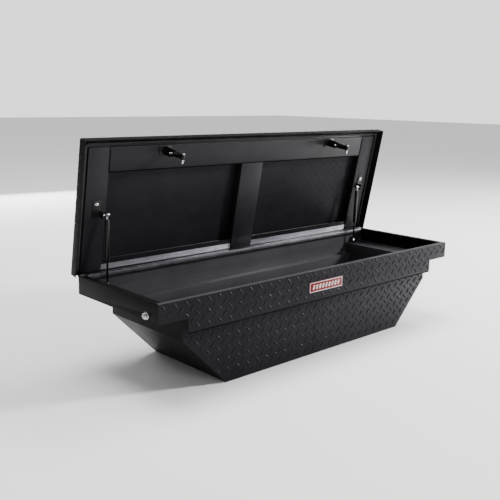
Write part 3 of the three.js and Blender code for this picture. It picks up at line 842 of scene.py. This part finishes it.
@dataclass
class Tub:
    """Folded walls, ends, shelves and bottom of the tub."""

    finishes: Finishes
    half_length: float = 889.0
    half_depth: float = 270.0
    height: float = 382.0
    body_half: float = 757.0
    wing_floor: float = 308.0
    slant_top: float = 210.0
    bottom_half: float = 547.0
    ledge: float = 254.0
    recess: float = 34.0
    sheet: float = 2.5
    edge: float = 0.8
    bend: float = 2.2
    apron_shift: tuple[float, float] = (-870.0, 366.0)
    wall_shift: tuple[float, float] = (-848.0, 236.0)
    wing_weld: tuple[float, float] = (318.0, 366.0)
    body_weld: tuple[float, float] = (214.0, 250.0)
    weld_inset: float = 0.6
    hem_radius: float = 4.6
    hem_pitch: float = 61.0
    hem_inset: float = 5.4
    hem_drop: float = 2.4
    hem_stop: float = 3.0

    def build(self) -> None:
        """Makes the sheets, then what is on them."""
        for node, inward in (("front_panel", (0, 1, 0)), ("back_panel", (0, -1, 0))):
            panel = rounded_copy(node, self.finishes.tread, self.edge, bend_mm=self.bend)
            self.coat_inside(panel, Vector(inward))
        # These sheets take the darker copy of the coat (painted shade, mainly on the end panels); their
        # inside faces below the given height take the lighter copy (painted light).
        for node, inward, top in (
            ("bottom_panel", (0, 0, 1), self.height),
            ("left_end_panel", (1, 0, 0), self.wing_floor),
            ("right_end_panel", (-1, 0, 0), self.wing_floor),
            ("left_wing_shelf", (0, 0, 1), self.height),
            ("right_wing_shelf", (0, 0, 1), self.height),
        ):
            sheet = rounded_copy(node, self.finishes.coat, self.edge, bend_mm=self.bend)
            self.coat_inside(sheet, Vector(inward), top)
        self.tread()
        self.corner_welds()
        # Dark beads of painted shadow under the apron folds.
        self.hem_sealer()

    def coat_inside(self, sheet: bpy.types.Object, inward: Vector, top: float = 400.0) -> None:
        """Gives the faces that look into the box, or face upward, the lighter copy of the coat: painted
        light inside the box and a painted highlight on the rim's top.

        Args:
            sheet: a dressed sheet of the tub.
            inward: direction from the sheet to the middle of the box.
            top: height above which the sheet keeps its darker coat, which on the end walls is painted
                shade, in millimetres.
        """
        sheet.data.materials.append(self.finishes.cavity)
        for face in sheet.data.polygons:
            # Inward and upward faces below the top are painted lit; the upward test also paints the
            # highlight along the rim's top edge.
            paints_lit = face.normal.dot(inward) > 0.3 or face.normal.z > 0.6
            if paints_lit and face.center.z < top * MM:
                face.material_index = 1

    def apron_outline(self) -> list[tuple[float, float]]:
        """Outline of the apron with both wings, in X and Z."""
        half, body = self.half_length, self.body_half
        return [(-half, self.height - 2), (-half, self.wing_floor), (-body, self.wing_floor),
                (-body, self.ledge), (body, self.ledge), (body, self.wing_floor),
                (half, self.wing_floor), (half, self.height - 2)]

    def wall_outline(self) -> list[tuple[float, float]]:
        """Outline of the recessed lower wall, in X and Z."""
        body, bottom = self.body_half, self.bottom_half
        return [(-body, self.ledge - 3), (-body, self.slant_top), (-bottom, 0), (bottom, 0),
                (body, self.slant_top), (body, self.ledge - 3)]

    def tread(self) -> None:
        """Adds the lugs of the front and back walls."""
        for face, sign in (("front", -1.0), ("back", 1.0)):
            across = Vector((-sign, 0, 0))
            for part, outline, depth in (
                ("apron", self.apron_outline(), self.half_depth),
                ("wall", self.wall_outline(), self.half_depth - self.recess),
            ):
                plane = plane_of(Vector((0, sign * depth, 0)) * MM, across, Vector((0, 0, 1)))
                flat = [(x * -sign, z) for x, z in outline]
                TreadLugs(f"{face}_{part}_lugs", Body.TUB.value, plane, flat,
                          shift=self.apron_shift if part == "apron" else self.wall_shift,
                          ).build(self.finishes.tread)

    def hem_sealer(self) -> None:
        """Adds a dark bead under the fold of each apron: painted shadow standing in for the shadow line
        there, not a real part.
        """
        for face, sign in (("front", -1), ("back", 1)):
            reach, y = self.body_half - self.hem_stop, sign * (self.half_depth - self.hem_inset)
            z = self.ledge - self.hem_drop
            strip = bead((-reach, y, z), (reach, y, z), self.hem_radius, self.hem_pitch)
            settle(strip, 50.0)
            dress(strip, f"{face}_hem_sealer", Body.TUB.value, self.finishes.sealer)

    def corner_welds(self) -> None:
        """Adds a weld inside each upright corner of the wings, and of the tub below them."""
        for side in Side:
            beads = []
            for y in (-1, 1):
                skin = self.sheet + self.weld_inset
                for half, depth, (low, high) in (
                    (self.half_length, self.half_depth, self.wing_weld),
                    (self.body_half, self.half_depth - self.recess, self.body_weld),
                ):
                    x, across = side.value * (half - skin), y * (depth - skin)
                    beads.append(bead((x, across, low), (x, across, high)))
            weld = joined(beads)
            settle(weld, 50.0)
            dress(weld, f"{side.label}_corner_welds", Body.TUB.value, self.finishes.coat)


# ---------------------------------------------------------------- lid


@dataclass
class Lid:
    """Tread-plate lid with its inner frame, seal and strikers."""

    finishes: Finishes
    half_length: float = 903.0
    front: float = -276.0
    back: float = 280.0
    skirt_bottom: float = 358.0
    shoulder: float = 394.0
    top: float = 426.0
    inset: float = 36.0
    skirt: float = 36.0
    sheet: float = 2.5
    edge_pitch: float = 60.0
    edge_lug: float = 30.0
    corner_room: float = 4.0
    skirt_room: float = 12.0
    skirt_reach: float = 890.0
    panel_inner: float = 68.0
    panel_outer: float = 769.0
    panel_front: float = -240.0
    panel_back: float = 136.0
    relief: float = 0.05
    seam_face: float = 386.2
    seam_edge: float = -138.6
    seam_front: float = -236.0
    seam_inner: float = 67.0
    seam_end: float = 770.5
    seam_radius: float = 2.3

    def build(self) -> None:
        """Makes the skin, the frame channels, the seal and the fittings."""
        rounded_copy("lid_skin", self.finishes.tread, 0.8, bend_mm=2.4)
        for node in ("lid_front_channel", "lid_middle_channel", "lid_left_channel", "lid_right_channel"):
            rounded_copy(node, self.finishes.inner, 0.8, bend_mm=2.0)
        rounded_copy("weatherstrip", self.finishes.seal, 0.5)
        self.tread()
        self.underside_pattern()
        # Dark beads of painted shadow along the front channel's edges.
        self.seam_sealer()
        for side in Side:
            label = side.label
            rounded_copy(f"striker_bracket_{label}", self.finishes.steel, 0.6)
            rounded_copy(f"striker_bolt_{label}", self.finishes.chrome, 0.5)
            rounded_copy(f"striker_bar_{label}", self.finishes.chrome, 0.7)
            rounded_copy(f"strut_lid_bracket_{label}", self.finishes.steel, 0.6)
            rounded_copy(f"strut_bracket_bolt_{label}", self.finishes.chrome, 0.5)

    def lay(self, name: str, plane: Matrix, outline: Sequence[tuple[float, float]], **sizes: Any) -> None:
        """Lays lugs on a face of the shut lid and turns them up with it.

        Args:
            name: name of the lugs.
            plane: the face, with the lid shut.
            outline: its outline on its own axes.
            sizes: sizes that differ from the usual lug.
        """
        TreadLugs(name, Body.LID.value, LID_TURN @ plane, outline, **sizes).build(self.finishes.tread)

    def tread(self) -> None:
        """Adds the lugs of the top plate, the four bevels and the skirts."""
        top_half = self.half_length - self.inset
        y0, y1 = self.front + self.inset, self.back - self.inset
        self.lay("lid_top_lugs",
                 plane_of(Vector((0, 0, self.top)) * MM, Vector((1, 0, 0)), Vector((0, 1, 0))),
                 [(-top_half, y0), (top_half, y0), (top_half, y1), (-top_half, y1)])
        rise = self.top - self.shoulder
        slant = math.hypot(rise, self.inset)
        half, room = self.half_length, self.corner_room
        edge_row = {"pitch_up": self.edge_pitch, "length": self.edge_lug}
        bevel_row = {**edge_row, "shift": (0.0, slant / 2)}
        skirt_row = {**edge_row, "shift": (0.0, self.skirt / 2)}
        for name, y, sign in (("front", self.front, -1.0), ("back", self.back, 1.0)):
            across, up = Vector((-sign, 0, 0)), Vector((0, -sign * self.inset, rise))
            self.lay(f"lid_{name}_bevel_lugs",
                     plane_of(Vector((0, y, self.shoulder)) * MM, across, up),
                     [(-half + room, 0), (half - room, 0), (top_half, slant), (-top_half, slant)],
                     **bevel_row)
        reach = self.skirt_reach
        self.lay("lid_front_skirt_lugs",
                 plane_of(Vector((0, self.front, self.skirt_bottom)) * MM,
                          Vector((1, 0, 0)), Vector((0, 0, 1))),
                 [(-reach, 0), (reach, 0), (reach, self.skirt), (-reach, self.skirt)],
                 **skirt_row)
        for side in Side:
            sign = float(side.value)
            across, up = Vector((0, sign, 0)), Vector((-sign * self.inset, 0, rise))
            low, high = ((self.front, self.back) if sign > 0 else (-self.back, -self.front))
            self.lay(f"lid_{side.label}_bevel_lugs",
                     plane_of(Vector((sign * half, 0, self.shoulder)) * MM, across, up),
                     [(low + room, 0), (high - room, 0),
                      (high - self.inset, slant), (low + self.inset, slant)],
                     **bevel_row)
            left, right = low + self.skirt_room, high - self.skirt_room
            self.lay(f"lid_{side.label}_skirt_lugs",
                     plane_of(Vector((sign * half, 0, self.skirt_bottom)) * MM,
                              across, Vector((0, 0, 1))),
                     [(left, 0), (right, 0), (right, self.skirt), (left, self.skirt)],
                     **skirt_row)

    def seam_sealer(self) -> None:
        """Adds dark beads where the front channel meets the panels and end channels: painted shadow
        standing in for the shadow lines there, not real parts.
        """
        face, edge = self.seam_face, self.seam_edge
        beads = []
        for side in Side:
            x = side.value
            beads.append(bead((x * self.seam_inner, edge, face), (x * self.panel_outer, edge, face),
                              self.seam_radius, 53.0))
            beads.append(bead((x * self.seam_end, self.seam_front, face),
                              (x * self.seam_end, edge, face), self.seam_radius, 37.0))
        seams = joined(beads)
        seams.data.transform(LID_TURN)
        settle(seams, 50.0)
        dress(seams, "lid_seam_sealer", Body.LID.value, self.finishes.sealer)

    def underside_pattern(self) -> None:
        """Adds the faint reverse of the lugs on the underside of the top plate."""
        for side in Side:
            low, high = sorted((side.value * self.panel_inner, side.value * self.panel_outer))
            under = self.top - self.sheet
            plane = plane_of(Vector((0, 0, under)) * MM, Vector((1, 0, 0)), Vector((0, -1, 0)))
            TreadLugs(f"lid_{side.label}_underside_relief", Body.LID.value, LID_TURN @ plane,
                      [(low, self.panel_front), (high, self.panel_front),
                       (high, self.panel_back), (low, self.panel_back)],
                      height=self.relief).build(self.finishes.tread)


# ---------------------------------------------------------------- hinge


@dataclass
class PianoHinge:
    """Full-length hinge with its two leaves, pin and screws."""

    finishes: Finishes
    screw_pitch: float = 76.0
    screw_radius: float = 3.6
    screw_depth: float = 1.6
    screw_reach: float = 836.0
    tub_row: tuple[float, float] = (258.5, 383.9)
    lid_row: tuple[float, float] = (263.0, 388.8)
    lid_inner: float = 75.0
    lid_outer: float = 760.0
    foot_low: float = 377.3
    foot_high: float = 388.6

    def build(self) -> None:
        """Dresses the leaves and adds the screws."""
        rounded_copy("hinge_tub_leaf", self.finishes.cap, 0.35)
        leaf = rounded_copy("hinge_lid_leaf", self.finishes.leaf, 0.35)
        self.black_foot(leaf)
        rounded_copy("hinge_pin", self.finishes.zinc, 0.3)
        self.screws()

    def black_foot(self, leaf: bpy.types.Object) -> None:
        """Paints the foot of the lid leaf, which is coated with the skirt that it wraps.

        Args:
            leaf: the dressed leaf.
        """
        leaf.data.materials.append(self.finishes.steel)
        shut = LID_TURN.inverted()
        for face in leaf.data.polygons:
            height = (shut @ face.center).z / MM
            if self.foot_low < height < self.foot_high:
                face.material_index = 1

    def screw(self) -> bpy.types.Object:
        """Models one pan-head screw, head up."""
        bpy.ops.object.select_all(action="DESELECT")
        bpy.ops.mesh.primitive_cylinder_add(vertices=12, radius=self.screw_radius * MM,
                                            depth=self.screw_depth * MM, location=(0, 0, 0.6 * MM))
        head = bpy.context.active_object
        bpy.ops.object.transform_apply(location=True, rotation=True, scale=True)
        apply_modifier(head, "BEVEL", width=0.7 * MM, segments=2, limit_method="ANGLE",
                       angle_limit=math.radians(50.0))
        return head

    def screws(self) -> None:
        """Sets a row of screws along each leaf."""
        xs = np.arange(-self.screw_reach, self.screw_reach + 1.0, self.screw_pitch)
        tub = [Matrix.Translation(Vector((x, *self.tub_row)) * MM) for x in xs]
        row = stamp(self.screw(), tub)
        settle(row, 40.0)
        dress(row, "hinge_tub_screws", Body.TUB.value, self.finishes.zinc)
        flip = Matrix.Rotation(math.pi, 4, "X")
        lid = [LID_TURN @ Matrix.Translation(Vector((x, *self.lid_row)) * MM) @ flip
               for x in xs if self.lid_inner < abs(x) < self.lid_outer]
        row = stamp(self.screw(), lid)
        settle(row, 40.0)
        dress(row, "hinge_lid_screws", Body.LID.value, self.finishes.zinc)


# ---------------------------------------------------------------- struts, locks and badge


@dataclass
class Struts:
    """The two gas struts with their brackets and sockets."""

    finishes: Finishes

    def build(self) -> None:
        """Dresses every piece of both struts."""
        for side in Side:
            label = side.label
            rounded_copy(f"strut_tub_bracket_{label}", self.finishes.steel, 0.5)
            rounded_copy(f"strut_tube_{label}", self.finishes.steel, 0.4)
            rounded_copy(f"strut_rod_{label}", self.finishes.steel, 0.3)
            rounded_copy(f"strut_rod_socket_{label}", self.finishes.zinc, 0.5)
            rounded_copy(f"strut_tube_socket_{label}", self.finishes.zinc, 0.5)


@dataclass
class Locks:
    """Push-button locks, push rods and hook latches at both ends."""

    finishes: Finishes

    def build(self) -> None:
        """Dresses every piece of both locks."""
        for side in Side:
            label = side.label
            for node, material, radius in (
                ("lock_body", self.finishes.chrome, 0.4),
                ("push_button", self.finishes.chrome, 0.4),
                ("key_plug", self.finishes.zinc, 0.25),
                ("lock_nut", self.finishes.zinc, 0.6),
                ("push_rod", self.finishes.zinc, 0.5),
                ("rod_guide", self.finishes.steel, 0.5),
                ("latch_bracket", self.finishes.steel, 0.5),
                ("latch_lever", self.finishes.zinc, 0.5),
            ):
                rounded_copy(f"{node}_{label}", material, radius)


@dataclass
class Badge:
    """Generic enamel plate with a pale raised border and a row of slanted bars."""

    finishes: Finishes
    border: float = 3.2
    margin: float = 1.5
    bar_room: float = 17.0
    rise: float = 0.8
    bars: int = 9
    bar_width: float = 10.0
    bar_height: float = 19.0
    bar_slant: float = 5.0

    def build(self) -> None:
        """Makes the plate, the border and the bars."""
        rounded_copy("badge_plate", self.finishes.red, 0.5)
        low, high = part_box("badge_plate")
        self.frame_border(low / MM, high / MM)
        self.slanted_bars(low / MM, high / MM)

    def frame_border(self, low: Vector, high: Vector) -> None:
        """Models the border: a plane whose middle is inset and removed, then thickened.

        Args:
            low: low corner of the plate, in millimetres.
            high: its high corner.
        """
        centre = (low + high) / 2
        bpy.ops.object.select_all(action="DESELECT")
        bpy.ops.mesh.primitive_plane_add(size=1.0, location=Vector((centre.x, low.y, centre.z)) * MM,
                                         rotation=(math.pi / 2, 0, 0))
        border = bpy.context.active_object
        gap = 2 * self.margin
        border.scale = ((high.x - low.x - gap) * MM, (high.z - low.z - gap) * MM, 1.0)
        bpy.ops.object.transform_apply(location=True, rotation=True, scale=True)

        def open_middle() -> None:
            """Insets the face and deletes its middle."""
            bpy.ops.mesh.inset(thickness=self.border * MM)
            bpy.ops.mesh.delete(type="FACE")

        edit(border, open_middle)
        apply_modifier(border, "SOLIDIFY", thickness=self.rise * MM, offset=1.0)
        apply_modifier(border, "BEVEL", width=0.25 * MM, segments=2, limit_method="ANGLE",
                       angle_limit=math.radians(40.0))
        settle(border)
        dress(border, "badge_border", Body.TUB.value, self.finishes.pale)

    def slanted_bars(self, low: Vector, high: Vector) -> None:
        """Models one slanted bar and stamps a row of them.

        Args:
            low: low corner of the plate, in millimetres.
            high: its high corner.
        """
        bpy.ops.object.select_all(action="DESELECT")
        bpy.ops.mesh.primitive_cube_add(size=1.0)
        bar = bpy.context.active_object
        bar.scale = (self.bar_width * MM, self.rise * MM, self.bar_height * MM)
        bpy.ops.object.transform_apply(location=True, rotation=True, scale=True)
        for vertex in bar.data.vertices:
            vertex.co.x += math.copysign(self.bar_slant / 2 * MM, vertex.co.z)
        apply_modifier(bar, "BEVEL", width=0.3 * MM, segments=2, limit_method="ANGLE",
                       angle_limit=math.radians(40.0))
        centre = (low + high) / 2
        step = (high.x - low.x - 2 * self.bar_room) / self.bars
        places = [
            Matrix.Translation(Vector((centre.x + (i - (self.bars - 1) / 2) * step,
                                       low.y - self.rise / 2, centre.z)) * MM)
            for i in range(self.bars)
        ]
        row = stamp(bar, places)
        settle(row)
        dress(row, "badge_bars", Body.TUB.value, self.finishes.pale)


# ---------------------------------------------------------------- studio


@dataclass
class Studio:
    """Pale floor, soft lights and the camera."""

    floor_size: float = 60.0
    image_px: float = 500.0
    focal_px: float = 731.1
    sensor: float = 36.0
    camera_at: tuple[float, float, float] = (-2.3113, -2.2521, 1.0875)
    camera_forward: tuple[float, float, float] = (0.66742, 0.71590, -0.20502)
    camera_roll: float = math.radians(0.9)
    ambient: float = 0.30
    sky: float = 2.2
    wash: float = 1.9
    wash_angle: float = math.radians(30.0)
    wash_tilt: float = math.radians(-14.0)
    aim_height: float = 0.35
    lights: Sequence[tuple[str, tuple[float, float, float], tuple[float, float], float]] = field(
        default_factory=lambda: (
            ("key_right", (5.4, -4.3, 3.8), (1.1, 1.1), 820.0),
            ("lug_glint", (7.6, -1.5, 1.4), (1.2, 2.0), 420.0),
            ("edge_strip", (3.8, 0.5, 4.0), (2.4, 1.4), 190.0),
            ("overhead", (0.0, 0.4, 4.6), (4.6, 2.2), 90.0),
            ("front_fill", (-1.2, -5.2, 2.4), (2.4, 1.2), 40.0),
            ("back_fill", (1.0, 5.4, 0.9), (3.6, 1.2), 190.0),
        )
    )

    def build(self) -> None:
        """Makes the floor, the lights, the surroundings and the camera."""
        self.floor()
        for name, place, size, power in self.lights:
            self.lamp(name, Vector(place), size, power)
        self.sun()
        world = bpy.data.worlds.new("surroundings")
        bpy.context.scene.world = world
        world.use_nodes = True
        tree = world.node_tree
        soft = tree.nodes["Background"]
        soft.inputs["Color"].default_value = (1.0, 1.0, 1.0, 1.0)
        soft.inputs["Strength"].default_value = self.ambient
        seen = tree.nodes.new("ShaderNodeBackground")
        seen.inputs["Strength"].default_value = self.sky
        either = tree.nodes.new("ShaderNodeMixShader")
        path = tree.nodes.new("ShaderNodeLightPath")
        tree.links.new(path.outputs["Is Camera Ray"], either.inputs[0])
        tree.links.new(soft.outputs[0], either.inputs[1])
        tree.links.new(seen.outputs[0], either.inputs[2])
        tree.links.new(either.outputs[0], tree.nodes["World Output"].inputs["Surface"])
        self.camera()

    def floor(self) -> None:
        """Makes the plain pale floor."""
        bpy.ops.object.select_all(action="DESELECT")
        bpy.ops.mesh.primitive_plane_add(size=self.floor_size, location=(0, 0, -0.0015))
        floor = bpy.context.active_object
        floor.name = "floor"
        graph = Graph("pale_floor")
        floor.data.materials.append(
            graph.shade(Base_Color=(0.92, 0.92, 0.92, 1.0), Roughness=0.9, Specular_IOR_Level=0.1)
        )

    def lamp(self, name: str, place: Vector, size: tuple[float, float], power: float) -> None:
        """Makes one soft rectangular light aimed at the box.

        Args:
            name: the light's name.
            place: its place, in metres.
            size: its width and height, in metres.
            power: its power, in watts.
        """
        data = bpy.data.lights.new(name, "AREA")
        data.shape = "RECTANGLE"
        data.size, data.size_y = size
        data.energy = power
        lamp = bpy.data.objects.new(name, data)
        bpy.context.scene.collection.objects.link(lamp)
        lamp.location = place
        aim = Vector((0.0, 0.0, self.aim_height)) - place
        lamp.rotation_euler = aim.to_track_quat("-Z", "Y").to_euler()

    def sun(self) -> None:
        """Makes the broad light from above and behind that evens out the floor."""
        data = bpy.data.lights.new("floor_wash", "SUN")
        data.energy = self.wash
        data.angle = self.wash_angle
        lamp = bpy.data.objects.new("floor_wash", data)
        bpy.context.scene.collection.objects.link(lamp)
        lamp.rotation_euler = (self.wash_tilt, 0.0, 0.0)

    def camera(self) -> None:
        """Makes the camera at its place, direction and roll."""
        data = bpy.data.cameras.new("camera")
        data.sensor_width = self.sensor
        data.lens = self.focal_px / self.image_px * self.sensor
        camera = bpy.data.objects.new("camera", data)
        bpy.context.scene.collection.objects.link(camera)
        forward = Vector(self.camera_forward).normalized()
        level = forward.cross(Vector((0, 0, 1))).normalized()
        upright = level.cross(forward)
        c, s = math.cos(self.camera_roll), math.sin(self.camera_roll)
        right, up = level * c + upright * s, upright * c - level * s
        turn = Matrix((right, up, -forward)).transposed().to_4x4()
        camera.matrix_world = Matrix.Translation(Vector(self.camera_at)) @ turn
        data.clip_end = 200.0
        bpy.context.scene.camera = camera


def main() -> None:
    """Builds the studio and every sub-assembly in order."""
    logging.basicConfig(level=logging.INFO, format="%(name)s: %(message)s")
    Studio().build()
    LOG.info("studio ready")
    finishes = Finishes.make()
    for assembly in (Tub(finishes), Lid(finishes), PianoHinge(finishes),
                     Struts(finishes), Locks(finishes), Badge(finishes)):
        assembly.build()
        LOG.info("built %s", type(assembly).__name__)


if __name__ == "__main__":
    main()
